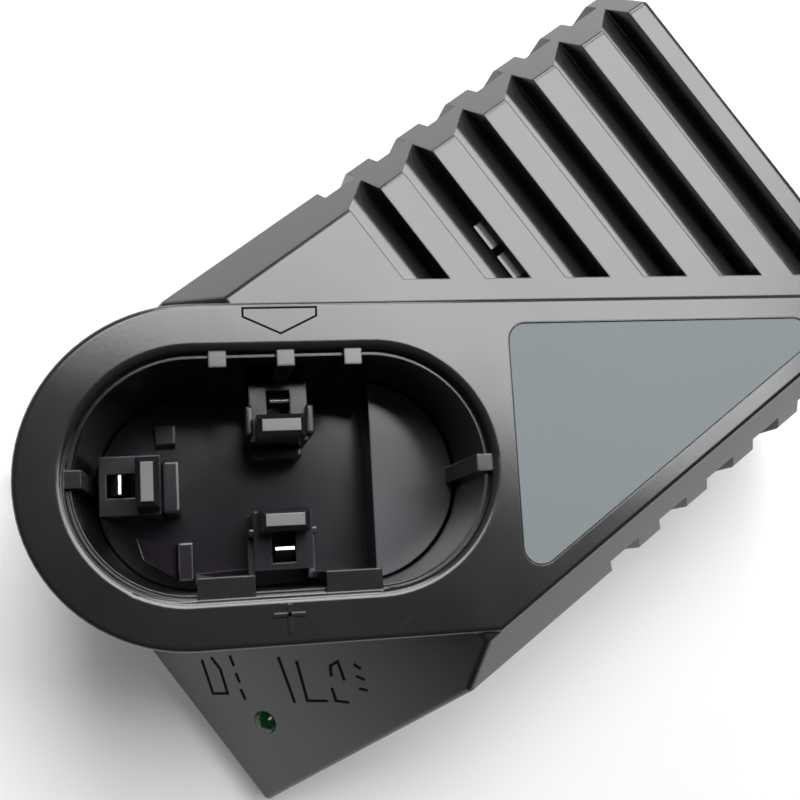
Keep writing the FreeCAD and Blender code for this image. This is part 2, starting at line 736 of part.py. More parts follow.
def lower_housing():
    """The base tray, screwed up under the top moulding."""
    body = new_body("lower_housing")
    outline = new_sketch(body, "tray", "XY_Plane", "foot_height")
    near = "(%s + tray_inset)" % slope_at("split_height")
    far = "(%s - tray_inset)" % FAR_FOOT
    left = "(%s - tray_inset)" % LEFT_FOOT
    right = "(tray_inset - %s)" % RIGHT_FOOT
    add_rectangle(outline, near, far, right, left)
    tray = pad(body, outline, "split_height - foot_height")
    places = [(number(x), number(y)) for x in (near, far) for y in (left, right)]
    names = upright_edges(tray, places) + level_edges(tray, number("foot_height"))
    round_edges(body, tray, names, "edge_round")
    inside = new_sketch(body, "tray_inside", "XY_Plane", FLOOR_TOP)
    wall_near = inner_slope_at("split_height")
    add_rectangle(inside, wall_near, CAVITY_FAR, "-" + CAVITY_RIGHT, CAVITY_LEFT)
    pocket(body, inside, "split_height - %s + 1" % FLOOR_TOP, reverse=True)
    posts = new_sketch(body, "screw_posts", "XY_Plane", "(foot_height + tray_floor / 2)")
    for x, y in SCREW_PLACES:
        add_circle(posts, x, y, "boss_radius")
    pad(body, posts, "split_height - foot_height - tray_floor / 2")
    standoffs = new_sketch(body, "standoffs", "XY_Plane", "(foot_height + tray_floor / 2)")
    for x, y in STANDOFF_PLACES:
        add_circle(standoffs, x, y, "standoff_radius")
    pad(body, standoffs, "standoff_height + tray_floor / 2")
    pilots = new_sketch(body, "board_pilots", "XY_Plane", BOARD_BOTTOM)
    for x, y in STANDOFF_PLACES:
        add_circle(pilots, x, y, "board_screw_radius + 0.05")
    pocket(body, pilots, "board_pilot_depth")
    holes = new_sketch(body, "screw_holes", "XY_Plane", "split_height")
    sinks = new_sketch(body, "screw_sinks", "XY_Plane", "foot_height")
    for x, y in SCREW_PLACES:
        add_circle(holes, x, y, "screw_radius + screw_clearance")
        add_circle(sinks, x, y, "head_radius + screw_clearance")
    pocket(body, holes)
    pocket(body, sinks, "head_sink", reverse=True)
    recesses = new_sketch(body, "foot_recesses", "XY_Plane", "foot_height")
    for x, y in FOOT_PLACES:
        add_circle(recesses, x, y, "foot_radius")
    pocket(body, recesses, "foot_recess", reverse=True)
    vent = new_sketch(body, "floor_vent", "XY_Plane", FLOOR_TOP)
    add_rectangle(
        vent, "floor_vent_start", "(floor_vent_start + floor_vent_width)",
        "-floor_vent_length / 2 - 10", "floor_vent_length / 2 - 10",
    )
    line_of(body, pocket(body, vent), FLOOR_VENTS, "floor_vent_pitch")
    seat(body, "lower_housing")


def post_rectangle(sketch, direction, start, finish, width):
    """A rectangle of a contact post: from start to finish outwards, centred on the post's own line."""
    half = "(%s) / 2" % width
    if direction == "left":
        add_rectangle(sketch, "-(%s)" % finish, "-(%s)" % start, "-%s" % half, half)
        return
    low = "(post_middle - %s)" % half
    high = "(post_middle + %s)" % half
    if direction == "rear":
        add_rectangle(sketch, low, high, start, finish)
    else:
        add_rectangle(sketch, low, high, "-(%s)" % finish, "-(%s)" % start)


POSTS = {"left": "left_post", "rear": "rear_post", "front": "front_post"}


def contact_carrier():
    """The well's floor: a plug with three hooded contact posts and a half-round shelf."""
    body = new_body("contact_carrier")
    flange = new_sketch(body, "flange", "XY_Plane", FLANGE_BOTTOM)
    add_stadium(flange, "well_run", "flange_radius")
    pad(body, flange, "carrier_flange")
    plug = new_sketch(body, "plug", "XY_Plane", FLANGE_BOTTOM)
    add_stadium(plug, "well_run", PLUG_RADIUS)
    pad(body, plug, "carrier_flange + carrier_plug + well_depth - shelf_depth")
    clear = new_sketch(body, "shelf_front", "XY_Plane", WELL_FLOOR)
    add_rectangle(clear, "-(nose_radius + 1)", "shelf_start", "-(nose_radius + 1)", "(nose_radius + 1)")
    pocket(body, clear, "well_depth", reverse=True)
    bases = new_sketch(body, "post_bases", "XY_Plane", "(%s - 1)" % WELL_FLOOR)
    hoods = new_sketch(body, "post_hoods", "XY_Plane", "(%s - 1)" % WELL_FLOOR)
    windows = new_sketch(body, "post_windows", "XY_Plane", "(%s + window_floor)" % WELL_FLOOR)
    for direction, start in POSTS.items():
        window = "(%s + hood_depth)" % start
        lip = "(%s + window_depth)" % window
        post_rectangle(bases, direction, start, "%s + lip_thickness" % lip, "post_width")
        post_rectangle(hoods, direction, start, window, "hood_width")
        post_rectangle(windows, direction, window, lip, "window_width")
    pad(body, bases, "post_base_height + 1")
    hood = pad(body, hoods, "hood_height + 1")
    chamfer_edges(body, hood, level_edges(hood, number("%s + hood_height" % WELL_FLOOR)), "hood_bevel")
    pocket(body, windows, "well_depth", reverse=True)
    holes = new_sketch(body, "flange_holes", "XY_Plane", TUBE_END)
    for x, y in CARRIER_SCREWS:
        add_circle(holes, x, y, "carrier_screw_radius + 0.15")
    pocket(body, holes, "carrier_flange")
    turn(body, "-well_angle")
    seat(body, "contact_carrier")


def spring_place(direction):
    """The rolled foot's axis for a post's spring, in the well's frame."""
    out = "(%s + hood_depth + window_depth / 2 + spring_offset)" % POSTS[direction]
    if direction == "left":
        return "-%s" % out, "0", "180"
    if direction == "rear":
        return "post_middle", out, "90"
    return "post_middle", "-%s" % out, "-90"


def contact_spring(direction):
    """A leaf spring with a rolled foot and a bulge that meets the pack's contact."""
    name = "contact_spring_" + direction
    body = new_body(name)
    roll = new_sketch(body, "roll_" + direction, "XZ_Plane")
    add_circle(roll, "0", "0", "spring_roll")
    pad(body, roll, "spring_width", both=True)
    leaf = new_sketch(body, "leaf_" + direction, "XZ_Plane")
    thick = "spring_thickness"
    add_polygon(leaf, [
        ("-%s / 2" % thick, "0"),
        ("%s / 2" % thick, "0"),
        ("%s / 2" % thick, "(spring_height * 0.55)"),
        ("(spring_bulge + %s / 2)" % thick, "(spring_height * 0.75)"),
        ("(%s / 2 - 0.3)" % thick, "spring_height"),
        ("(-%s / 2 - 0.3)" % thick, "(spring_height - 0.1)"),
        ("(spring_bulge - %s / 2)" % thick, "(spring_height * 0.75)"),
        ("-%s / 2" % thick, "(spring_height * 0.57)"),
    ])
    pad(body, leaf, "spring_width", both=True)
    x, y, yaw = spring_place(direction)
    turn(body, "%s - well_angle" % yaw)
    along = "(%s) * %s + (%s) * %s" % (x, COS, y, SIN)
    across = "(%s) * %s - (%s) * %s" % (y, COS, x, SIN)
    seat(body, name, along, across, "%s + window_floor + spring_roll" % WELL_FLOOR)


def label_plate():
    """The blank label in its recess."""
    body = new_body("label_plate")
    outline = new_sketch(body, "label_outline", "XY_Plane", "(total_height - label_depth)", turned=True)
    add_polygon(outline, label_corners("label_gap"))
    plate = pad(body, outline, "label_thickness")
    places = [plan_point(x, y) for x, y in label_corners("label_gap")]
    round_edges(body, plate, upright_edges(plate, places), "label_round - label_gap")
    seat(body, "label_plate")


def status_lens():
    """The indicator's domed light guide, held by a flange behind the slope."""
    body = new_body("status_lens")
    profile = new_sketch(body, "lens_profile", "XZ_Plane")
    dome = "(lens_radius * 0.6)"
    back = "-(wall_thickness + lens_lip)"
    add_polygon(profile, [
        ("0", dome),
        ("(lens_radius * 0.55)", "(lens_radius * 0.48)"),
        ("(lens_radius * 0.87)", "(lens_radius * 0.25)"),
        ("lens_radius", "0"),
        ("lens_radius", "-wall_thickness"),
        ("lens_flange", "-wall_thickness"),
        ("lens_flange", back),
        ("0", back),
    ])
    revolve(body, profile)
    tilt(body, "slope_angle")
    seat(body, "status_lens", "-lens_along", "-lens_across", lens_level())


def revolve(body, profile):
    """A full turn of a profile about the sketch's upright axis."""
    feature = body.newObject("PartDesign::Revolution", profile.Name + "_turn")
    feature.Profile = profile
    feature.ReferenceAxis = (profile, ["V_Axis"])
    feature.Angle = 360
    doc.recompute()
    return feature


def tilt(obj, angle):
    """Tips a piece back with the slope."""
    obj.Placement = Placement(Vector(0, 0, 0), Rotation(Vector(0, -1, 0), 10))
    bind(obj, "Placement.Rotation.Angle", angle)


def status_led():
    """The light itself, seated on the back of the lens."""
    body = new_body("status_led")
    profile = new_sketch(body, "led_profile", "XZ_Plane")
    top = "-(wall_thickness + lens_lip)"
    brim = "(%s - led_length)" % top
    add_polygon(profile, [
        ("0", top),
        ("led_radius", top),
        ("led_radius", brim),
        ("(led_radius + 0.4)", brim),
        ("(led_radius + 0.4)", "(%s - 1)" % brim),
        ("0", "(%s - 1)" % brim),
    ])
    revolve(body, profile)
    tilt(body, "slope_angle")
    seat(body, "status_led", "-lens_along", "-lens_across", lens_level())


# Part primitives for the fasteners, the feet and the parts on the board

def box(name, x, y, z, length, width, height):
    """A box from its low corner."""
    obj = doc.addObject("Part::Box", name)
    for prop, text in (("Length", length), ("Width", width), ("Height", height)):
        bind(obj, prop, text)
    for axis, text in (("x", x), ("y", y), ("z", z)):
        bind(obj, "Placement.Base." + axis, text)
    return obj


def rod(name, x, y, z, radius, height, lying=None):
    """A cylinder from its low end, lying along X or Y if asked."""
    obj = doc.addObject("Part::Cylinder", name)
    bind(obj, "Radius", radius)
    bind(obj, "Height", height)
    if lying == "X":
        obj.Placement.Rotation = Rotation(Vector(0, 1, 0), 90)
    if lying == "Y":
        obj.Placement.Rotation = Rotation(Vector(1, 0, 0), -90)
    for axis, text in (("x", x), ("y", y), ("z", z)):
        bind(obj, "Placement.Base." + axis, text)
    return obj


def joined(name, pieces):
    """One node out of pieces that touch, or a group of separate like ones."""
    if len(pieces) > 1:
        obj = doc.addObject("Part::MultiFuse", name)
        obj.Shapes = pieces
    else:
        obj = doc.addObject("Part::Compound", name)
        obj.Links = pieces
    seat(obj, name)
    return obj


def rubber_feet():
    """Four round feet glued into the tray's recesses."""
    feet = [
        rod("foot", x, y, "0", "foot_radius - fit_gap", "foot_height + foot_recess")
        for x, y in FOOT_PLACES
    ]
    joined("rubber_feet", feet)


def housing_screws():
    """Four screws that hold the tray, their heads sunk in it."""
    seat_level = "(foot_height + head_sink)"
    pieces = []
    for x, y in SCREW_PLACES:
        pieces.append(rod("screw_head", x, y, "(%s - head_height)" % seat_level, "head_radius", "head_height"))
        reach = "(split_height - %s + screw_reach)" % seat_level
        pieces.append(rod("screw_shank", x, y, seat_level, "screw_radius", reach))
    joined("housing_screws", pieces)


def carrier_screws():
    """Four small screws that hold the contact carrier up under the well."""
    pieces = []
    for x, y in CARRIER_SCREWS:
        along = "((%s) * %s + (%s) * %s)" % (x, COS, y, SIN)
        across = "((%s) * %s - (%s) * %s)" % (y, COS, x, SIN)
        head_level = "(%s - carrier_head_height)" % FLANGE_BOTTOM
        pieces.append(rod("small_head", along, across, head_level, "carrier_head_radius", "carrier_head_height"))
        reach = "(carrier_flange + carrier_screw_reach)"
        pieces.append(rod("small_shank", along, across, FLANGE_BOTTOM, "carrier_screw_radius", reach))
    joined("carrier_screws", pieces)


def contact_board():
    """The small board under the carrier that the contacts are wired to."""
    body = new_body("contact_board")
    outline = new_sketch(body, "contact_outline", "XY_Plane", FLANGE_BOTTOM)
    add_rectangle(outline, "-8", "(well_run + 4)", "-10", "10")
    pad(body, outline, "board_thickness", reverse=True)
    turn(body, "-well_angle")
    seat(body, "contact_board")


def circuit_board():
    """The main board on its four standoffs."""
    body = new_body("circuit_board")
    outline = new_sketch(body, "board_outline", "XY_Plane", BOARD_BOTTOM)
    add_rectangle(outline, "board_near", "board_far", "-board_right", "board_left")
    for x, y in STANDOFF_PLACES:
        add_circle(outline, x, y, "board_screw_radius + 0.2")
    pad(body, outline, "board_thickness")
    seat(body, "circuit_board")


def board_screws():
    """Four screws down into the standoffs."""
    pieces = []
    for x, y in STANDOFF_PLACES:
        pieces.append(rod("board_head", x, y, BOARD_TOP, "board_screw_radius * 2", "1.4"))
        start = "(%s - board_pilot_depth + 0.5)" % BOARD_BOTTOM
        reach = "(board_pilot_depth - 0.5 + board_thickness)"
        pieces.append(rod("board_shank", x, y, start, "board_screw_radius", reach))
    joined("board_screws", pieces)


def on_board(x, y):
    """A place on the board, as X from its near edge and Y from its right edge."""
    return "(board_near + %s)" % x, "(%s - board_right)" % y


def transformer():
    """The ferrite core with its two windows, and the wound bobbin in it."""
    x, y = on_board(18, 14)
    base = "(%s + 2)" % BOARD_TOP
    outer = box("core_block", x, y, base, "24", "20", "21")
    window_x = "(%s + 4.5)" % x
    low = box("core_window", window_x, "(%s - 1)" % y, "(%s + 4.5)" % base, "15", "22", "12")
    core = doc.addObject("Part::Cut", "transformer_core")
    core.Base = outer
    core.Tool = low
    seat(core, "transformer_core")
    coil = rod("coil", "(%s + 12)" % x, "(%s + 1.5)" % y, "(%s + 10.5)" % base, "6", "17", lying="Y")
    foot = box("bobbin_foot", "(%s + 2)" % x, y, BOARD_TOP, "20", "20", "2")
    joined("transformer_bobbin", [foot])
    joined("transformer_coil", [coil])


def capacitors():
    """The smoothing capacitor, the two output ones and the film one at the inlet."""
    x, y = on_board(9, 22)
    joined("bulk_capacitor", [rod("bulk", x, y, BOARD_TOP, "7.5", "30")])
    cans = []
    for step in (0, 11):
        x, y = on_board(46.5, 38 + step)
        cans.append(rod("can", x, y, BOARD_TOP, "4", "16"))
    joined("output_capacitors", cans)
    x, y = on_board(10, 2)
    joined("film_capacitor", [box("film", x, y, BOARD_TOP, "18", "8", "14")])


def heat_sink(name, x, y, fins):
    """A finned aluminium plate that stands on the board."""
    plate = box("plate", x, y, BOARD_TOP, "22", "1.8", "26")
    pieces = [plate]
    for step in range(fins):
        fin_x = "(%s + %g)" % (x, 1 + step * 4.6)
        pieces.append(box("fin", fin_x, "(%s + 1.5)" % y, BOARD_TOP, "1.2", "5", "26"))
    joined(name, pieces)


def power_parts():
    """The switching transistor and the rectifier on their heat sinks."""
    x, y = on_board(18, 49)
    heat_sink("primary_heat_sink", x, y, 5)
    joined("power_transistor", [
        box("tab", "(%s + 6)" % x, "(%s - 1.2)" % y, "(%s + 10)" % BOARD_TOP, "10", "1.2", "14"),
        box("case", "(%s + 6)" % x, "(%s - 4.4)" % y, "(%s + 8)" % BOARD_TOP, "10", "3.2", "9"),
        box("legs", "(%s + 8)" % x, "(%s - 3)" % y, BOARD_TOP, "6", "0.8", "8.5"),
    ])
    x, y = on_board(30, 38)
    joined("rectifier_diode", [
        box("diode", x, y, "(%s + 2.5)" % BOARD_TOP, "9", "4.5", "13"),
        box("diode_legs", "(%s + 1.5)" % x, "(%s + 1.8)" % y, BOARD_TOP, "6", "0.8", "3"),
    ])


def small_parts():
    """Choke, fuse, controller and optocoupler."""
    x, y = on_board(9, 38.5)
    ring = doc.addObject("Part::Cut", "choke")
    ring.Base = rod("ring_block", x, y, BOARD_TOP, "choke_radius", "choke_height")
    ring.Tool = rod("ring_bore", x, y, BOARD_TOP, "choke_bore", "choke_height")
    seat(ring, "choke")
    x, y = on_board(33, 8)
    joined("fuse", [
        rod("fuse_glass", "(%s - 3)" % x, y, "(%s + 2.8)" % BOARD_TOP, "2.5", "14", lying="X"),
        box("clip_one", "(%s - 2)" % x, "(%s - 2)" % y, BOARD_TOP, "2", "4", "2"),
        box("clip_two", "(%s + 8)" % x, "(%s - 2)" % y, BOARD_TOP, "2", "4", "2"),
    ])
    x, y = on_board(19, 36.5)
    joined("controller_chip", [box("chip", x, y, BOARD_TOP, "9", "6", "1.8")])
    x, y = on_board(8, 49)
    joined("optocoupler", [box("opto", x, y, BOARD_TOP, "6.5", "4.6", "3.5")])


def insulation_sheet():
    """A white insulating sheet against the roof, seen through the second groove's vents."""
    high = "(groove_start + groove_width + groove_pitch)"
    body = new_body("insulation_sheet")
    outline = new_sketch(body, "sheet_outline", "XY_Plane", CAVITY_TOP)
    add_rectangle(outline, "(%s - 6)" % high, "(%s + 4)" % high, "(%s - 2)" % groove_foot(high), "(%s + 16)" % groove_foot(high))
    pad(body, outline, "0.4", reverse=True)
    seat(body, "insulation_sheet")


def build():
    """Makes every sub-part."""
    upper_housing()
    lower_housing()
    contact_carrier()
    for direction in POSTS:
        contact_spring(direction)
    label_plate()
    status_lens()
    status_led()
    rubber_feet()
    housing_screws()
    carrier_screws()
    contact_board()
    circuit_board()
    board_screws()
    transformer()
    capacitors()
    power_parts()
    small_parts()
    insulation_sheet()
    doc.recompute()


def check_and_write():
    """Stops on a failed object or shape, then writes one file for each sub-part."""
    for obj in doc.Objects:
        failed = [state for state in obj.State if state in ("Invalid", "Error")]
        if failed:
            raise RuntimeError("%s is %s" % (obj.Name, failed))
    for name, obj in PIECES:
        if obj.Shape.isNull() or not obj.Shape.isValid():
            raise RuntimeError(name + " has no valid shape")
    os.makedirs("parts", exist_ok=True)
    for name, obj in PIECES:
        obj.Shape.exportStep("parts/%s.step" % name)
        extent = obj.Shape.BoundBox
        print(name, len(obj.Shape.Solids), "solids", round(obj.Shape.Volume, 1), "mm3", extent)


build()
check_and_write()
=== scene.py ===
import json
import math

import bmesh
import bpy
from mathutils import Matrix, Vector


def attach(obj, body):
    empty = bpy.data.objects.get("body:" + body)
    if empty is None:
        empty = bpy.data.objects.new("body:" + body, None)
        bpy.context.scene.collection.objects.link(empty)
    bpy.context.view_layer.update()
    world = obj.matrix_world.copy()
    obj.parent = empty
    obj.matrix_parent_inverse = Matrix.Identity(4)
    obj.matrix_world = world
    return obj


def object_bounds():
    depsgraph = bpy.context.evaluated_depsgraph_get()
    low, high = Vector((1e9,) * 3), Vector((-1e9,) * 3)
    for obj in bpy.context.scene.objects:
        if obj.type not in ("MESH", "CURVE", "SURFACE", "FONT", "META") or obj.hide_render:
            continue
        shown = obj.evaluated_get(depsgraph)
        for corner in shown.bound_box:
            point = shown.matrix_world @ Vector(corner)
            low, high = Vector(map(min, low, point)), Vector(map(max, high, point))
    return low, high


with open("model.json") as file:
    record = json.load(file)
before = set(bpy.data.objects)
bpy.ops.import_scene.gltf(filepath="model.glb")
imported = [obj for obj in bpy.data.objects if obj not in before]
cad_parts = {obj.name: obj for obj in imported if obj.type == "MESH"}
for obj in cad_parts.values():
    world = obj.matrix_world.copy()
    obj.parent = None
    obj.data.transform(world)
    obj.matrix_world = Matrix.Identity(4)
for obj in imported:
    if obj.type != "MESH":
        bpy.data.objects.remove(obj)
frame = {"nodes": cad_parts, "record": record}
cad_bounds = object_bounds()

# Places: millimetres here and in the outlines, turned into metres by well(), along_box() and MM
# The well's own frame has its origin at the nose's centre on the raised plate,
# x along the racetrack and y towards the grooved side.
MM = 0.001
PLATE_TOP = cad_bounds[1][2] / MM
PLATE_RISE = 1.0
NOSE_CENTRE = Vector((-44.07, 14.16, PLATE_TOP)) * MM
WELL_ANGLE = math.radians(-35.05)
WELL_TURN = Matrix.Rotation(WELL_ANGLE, 3, "Z")
# The slope's top edge along the box, its rise for each millimetre along, and its lean
SLOPE_TOP = 21.3
SLOPE_RISE = 1.2
SLOPE_ANGLE = math.radians(50.2)

# Heights under the plate, in the well
FLOOR = -37.0
UNDER_FLOOR = FLOOR - 0.5
HOOD_TOP = -10.0
# The middle of the rear and front posts along the racetrack
POST_MIDDLE = 14.6

# The photograph's upper side, level with the floor, and the side that the light comes from
FAR_SIDE = Vector((0.6, 0.8, 0.0))
KEY_SIDE = Vector((0.78, 0.626, 0.0))

# The camera stands where the photograph was taken
CAMERA_PLACE = Vector((-51.833, 0.611, 234.776)) * MM
CAMERA_RIGHT = Vector((0.77249, -0.61164, 0.17073))
CAMERA_UP = Vector((0.59213, 0.79093, 0.15436))
CAMERA_BACK = Vector((-0.22944, -0.01815, 0.97315))
LENS = 49.78
SENSOR = 36.0


def well(x, y, z=0.0):
    """A point of the well's frame, in millimetres, as a point of the scene."""
    return NOSE_CENTRE + WELL_TURN @ Vector((x, y, z)) * MM


def along_box(s, t, z=0.0):
    """A point measured along and across the box from the nose's centre."""
    return NOSE_CENTRE + Vector((s, t, z)) * MM


# Materials

# A mix node's two inputs and its output, for each kind of value
MIX_NUMBERS = (2, 3)
MIX_NUMBER_OUT = 0
MIX_VECTORS = (4, 5)
MIX_VECTOR_OUT = 1
MIX_COLOURS = (6, 7)
MIX_COLOUR_OUT = 2

UPRIGHT = (0.0, 0.0, 1.0)
ALONG_BOX = (1.0, 0.0, 0.0)
SCRATCH_TURN = (0.0, 0.0, 0.6)
WHITE = (1.0, 1.0, 1.0, 1.0)


class Nodes:
    """Short names for building one material's nodes."""

    def __init__(self, name):
        self.material = bpy.data.materials.new(name)
        self.material.use_nodes = True
        self.tree = self.material.node_tree
        self.shader = self.tree.nodes["Principled BSDF"]
        coordinates = self.tree.nodes.new("ShaderNodeTexCoord")
        self.place = coordinates.outputs["Object"]

    def link(self, source, target):
        """Joins an output to an input."""
        self.tree.links.new(source, target)

    def set(self, **values):
        """Sets constants on the shader's own sockets."""
        for name, value in values.items():
            self.shader.inputs[name.replace("_", " ")].default_value = value

    def noise(self, scale, detail=4.0, roughness=0.55, stretch=None):
        """Object-space noise, drawn out into streaks where a stretch is given."""
        node = self.tree.nodes.new("ShaderNodeTexNoise")
        node.inputs["Scale"].default_value = scale
        node.inputs["Detail"].default_value = detail
        node.inputs["Roughness"].default_value = roughness
        place = self.place
        if stretch:
            mapping = self.tree.nodes.new("ShaderNodeMapping")
            mapping.inputs["Scale"].default_value = stretch
            mapping.inputs["Rotation"].default_value = SCRATCH_TURN
            self.link(place, mapping.inputs["Vector"])
            place = mapping.outputs["Vector"]
        self.link(place, node.inputs["Vector"])
        return node.outputs["Fac"]

    def levels(self, source, low, high, out_low, out_high):
        """Maps one range of a value to another and holds it at the ends."""
        node = self.tree.nodes.new("ShaderNodeMapRange")
        node.inputs["From Min"].default_value = low
        node.inputs["From Max"].default_value = high
        node.inputs["To Min"].default_value = out_low
        node.inputs["To Max"].default_value = out_high
        self.link(source, node.inputs["Value"])
        return node.outputs["Result"]

    def mix(self, factor, one, other):
        """A colour between two colours."""
        node = self.tree.nodes.new("ShaderNodeMix")
        node.data_type = "RGBA"
        self.link(factor, node.inputs["Factor"])
        for index, colour in zip(MIX_COLOURS, (one, other)):
            if isinstance(colour, tuple):
                node.inputs[index].default_value = (*colour, 1.0)
            else:
                self.link(colour, node.inputs[index])
        return node.outputs[MIX_COLOUR_OUT]

    def combine(self, one, other, kind="MULTIPLY"):
        """Two values multiplied or added, held between 0 and 1."""
        node = self.tree.nodes.new("ShaderNodeMath")
        node.operation = kind
        node.use_clamp = True
        for index, value in enumerate((one, other)):
            if isinstance(value, float):
                node.inputs[index].default_value = value
            else:
                self.link(value, node.inputs[index])
        return node.outputs["Value"]

    def normal_along(self, direction):
        """How far a face looks in a direction: 1 straight along it, 0 square to it."""
        geometry = self.tree.nodes.new("ShaderNodeNewGeometry")
        towards = self.tree.nodes.new("ShaderNodeVectorMath")
        towards.operation = "DOT_PRODUCT"
        towards.inputs[1].default_value = direction
        self.link(geometry.outputs["Normal"], towards.inputs[0])
        return towards.outputs["Value"]

    def worn_edges(self, reach=0.0005):
        """1 along an edge and 0 on a face, from how far a rounded normal leans from the true one."""
        edge_lean, face_lean = 0.75, 0.97
        rounded = self.tree.nodes.new("ShaderNodeBevel")
        rounded.samples = 6
        rounded.inputs["Radius"].default_value = reach
        geometry = self.tree.nodes.new("ShaderNodeNewGeometry")
        lean = self.tree.nodes.new("ShaderNodeVectorMath")
        lean.operation = "DOT_PRODUCT"
        self.link(rounded.outputs["Normal"], lean.inputs[0])
        self.link(geometry.outputs["Normal"], lean.inputs[1])
        return self.levels(lean.outputs["Value"], edge_lean, face_lean, 1.0, 0.0)

    def height(self):
        """The height over the table."""
        node = self.tree.nodes.new("ShaderNodeSeparateXYZ")
        self.link(self.place, node.inputs["Vector"])
        return node.outputs["Z"]

    def level_faces(self, low, high):
        """1 on the level faces that lie between two heights, and 0 elsewhere."""
        blend = 0.0004
        nearly_level, level = 0.90, 0.98
        facing_up = self.levels(self.normal_along(UPRIGHT), nearly_level, level, 0.0, 1.0)
        height = self.height()
        over_low = self.levels(height, low - blend, low, 0.0, 1.0)
        under_high = self.levels(height, high, high + blend, 1.0, 0.0)
        return self.combine(facing_up, self.combine(over_low, under_high))

    def rolled_over(self, normal, low, high, most):
        """Leans the normal of faces that slope along the box back upright as they near the deck."""
        too_flat, sloped_enough = 0.45, 0.55
        still_a_ramp, too_steep = 0.70, 0.75
        along = self.normal_along(ALONG_BOX)
        sloping = self.levels(along, too_flat, sloped_enough, 0.0, 1.0)
        not_steep = self.levels(along, still_a_ramp, too_steep, 1.0, 0.0)
        nearness = self.levels(self.height(), low, high, 0.0, most)
        share = self.combine(self.combine(sloping, not_steep), nearness)
        lean = self.tree.nodes.new("ShaderNodeMix")
        lean.data_type = "VECTOR"
        sloped, upright = MIX_VECTORS
        self.link(share, lean.inputs["Factor"])
        self.link(normal, lean.inputs[sloped])
        lean.inputs[upright].default_value = UPRIGHT
        unit = self.tree.nodes.new("ShaderNodeVectorMath")
        unit.operation = "NORMALIZE"
        self.link(lean.outputs[MIX_VECTOR_OUT], unit.inputs[0])
        return unit.outputs["Vector"]

    def bump(self, heights, distance, strength=0.5, edge=None, rolled=None):
        """Fine relief, over edges rounded by a radius and, where asked, ramps rolled into the deck."""
        node = self.tree.nodes.new("ShaderNodeBump")
        node.inputs["Strength"].default_value = strength
        node.inputs["Distance"].default_value = distance
        self.link(heights, node.inputs["Height"])
        if edge:
            bevel = self.tree.nodes.new("ShaderNodeBevel")
            bevel.samples = 4
            bevel.inputs["Radius"].default_value = edge
            normal = bevel.outputs["Normal"]
            if rolled:
                normal = self.rolled_over(normal, *rolled)
            self.link(normal, node.inputs["Normal"])
        self.link(node.outputs["Normal"], self.shader.inputs["Normal"])


def darker(colour, share):
    """A colour dimmed to a share of itself."""
    return tuple(part * share for part in colour)


def plastic(name, colour, worn, rough=0.3, grain=1400.0, shine=0.5, painted_lit_faces=(), rolled=None, glow=0.0):
    """Moulded plastic: fine grain, faint flow marks, paler worn edges and light scratches; where asked,
    up-facing faces painted paler as a painted highlight, and a painted glow though the part is no lamp.
    """
    grain_depth = 0.000014
    edge_radius = 0.00035
    scratch_roughness = 0.05
    nodes = Nodes(name)
    grain_heights = nodes.noise(scale=grain, detail=3.0)
    flow = nodes.noise(scale=35.0, detail=5.0, roughness=0.6)
    scratches = nodes.noise(scale=1900.0, detail=2.0, roughness=0.5, stretch=(0.05, 1.0, 1.0))
    scratch_mask = nodes.levels(scratches, 0.70, 0.78, 0.0, 1.0)
    base = nodes.mix(flow, darker(colour, 0.82), colour)
    # Up-facing faces between two heights take a paler colour: a painted highlight.
    for low, high, paler in painted_lit_faces:
        base = nodes.mix(nodes.level_faces(low, high), base, paler)
    wear = nodes.combine(nodes.worn_edges(), nodes.levels(flow, 0.35, 0.6, 0.2, 0.9))
    nodes.link(nodes.mix(wear, base, worn), nodes.shader.inputs["Base Color"])
    even = nodes.levels(flow, 0.3, 0.7, rough - 0.03, rough + 0.04)
    scratched = nodes.combine(even, nodes.combine(scratch_mask, scratch_roughness), "ADD")
    nodes.link(scratched, nodes.shader.inputs["Roughness"])
    nodes.set(Specular_IOR_Level=shine)
    if glow:
        nodes.set(Emission_Color=(1.0, 1.0, 0.97, 1.0), Emission_Strength=glow)
    nodes.bump(grain_heights, grain_depth, strength=0.35, edge=edge_radius, rolled=rolled)
    return nodes.material


def metal(name, colour, rough=0.25, grain=900.0, stretch=(1.0, 0.05, 1.0)):
    """Drawn or plated metal with fine lines and a few dull spots."""
    line_depth = 0.00002
    edge_radius = 0.0002
    nodes = Nodes(name)
    lines = nodes.noise(scale=grain, detail=2.0, roughness=0.5, stretch=stretch)
    spots = nodes.noise(scale=120.0, detail=4.0)
    nodes.link(nodes.mix(spots, darker(colour, 0.8), colour), nodes.shader.inputs["Base Color"])
    nodes.link(nodes.levels(spots, 0.3, 0.7, rough - 0.06, rough + 0.12), nodes.shader.inputs["Roughness"])
    nodes.set(Metallic=1.0)
    nodes.bump(lines, line_depth, strength=0.4, edge=edge_radius)
    return nodes.material


def film(name, colour):
    """Satin film: near even, with faint mottling and a soft sheen."""
    fibre_depth = 0.00001
    nodes = Nodes(name)
    mottle = nodes.noise(scale=90.0, detail=5.0)
    fine = nodes.noise(scale=2200.0, detail=2.0)
    nodes.link(nodes.mix(mottle, darker(colour, 0.96), colour), nodes.shader.inputs["Base Color"])
    nodes.link(nodes.levels(mottle, 0.3, 0.7, 0.50, 0.60), nodes.shader.inputs["Roughness"])
    nodes.set(Specular_IOR_Level=0.2)
    nodes.bump(fine, fibre_depth, strength=0.3)
    return nodes.material


def clear_plastic(name, colour):
    """Tinted clear plastic or glass, slightly cloudy."""
    cloud_depth = 0.00002
    nodes = Nodes(name)
    cloud = nodes.noise(scale=300.0, detail=3.0)
    nodes.link(nodes.mix(cloud, darker(colour, 0.7), colour), nodes.shader.inputs["Base Color"])
    nodes.link(nodes.levels(cloud, 0.3, 0.7, 0.12, 0.20), nodes.shader.inputs["Roughness"])
    nodes.set(Transmission_Weight=0.35, IOR=1.5)
    nodes.bump(cloud, cloud_depth, strength=0.2)
    return nodes.material


